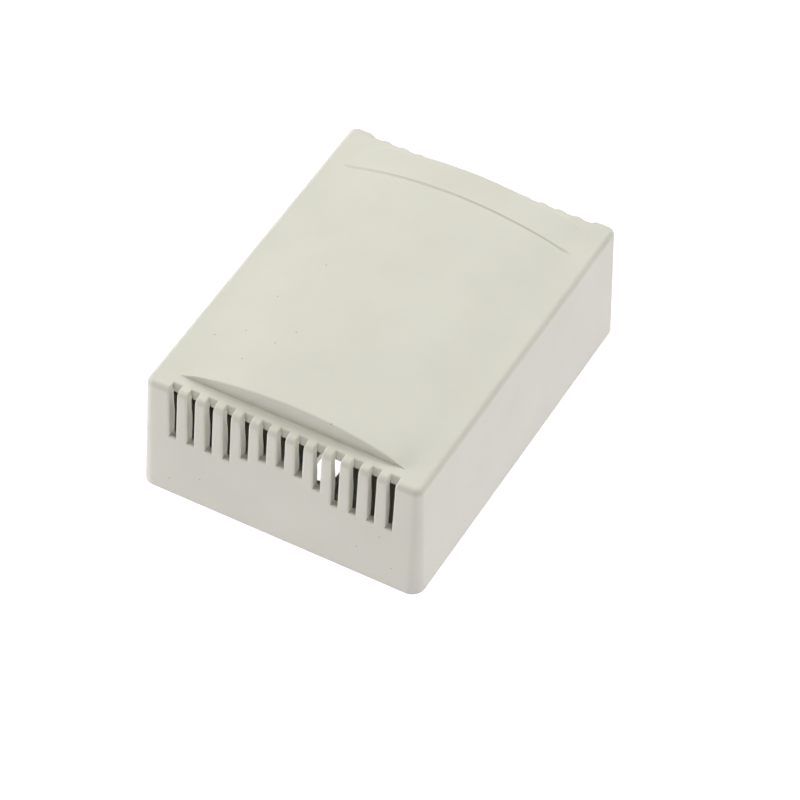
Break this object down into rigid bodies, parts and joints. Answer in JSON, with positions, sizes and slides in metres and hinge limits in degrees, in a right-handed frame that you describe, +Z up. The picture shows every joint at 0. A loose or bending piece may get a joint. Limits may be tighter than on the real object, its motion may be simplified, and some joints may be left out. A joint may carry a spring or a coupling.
{
  "type": "project box",
  "caption": "Vented plastic wall box for electronics: a deep cover with a crowned lid and slotted end walls snaps over a flat base plate with board posts.",
  "frame": {"origin": "middle of the underside, where the base plate meets the wall or table", "axes": "+Z up through the lid, +Y along the long side towards the end with the line across the crown, +X across"},
  "size_m": [0.066, 0.09, 0.0347],
  "materials": {
    "cover_plastic": "fine satin, off-white",
    "base_plastic": "fine satin, off-white"
  },
  "bodies": {
    "base": {"base_plate": "base_plastic"},
    "cover": {"cover": "cover_plastic"}
  },
  "joints": [
    {"name": "cover_lift", "type": "slide", "parent": "base", "child": "cover", "axis": [0, 0, 1], "range_m": [0, 0.042]}
  ]
}
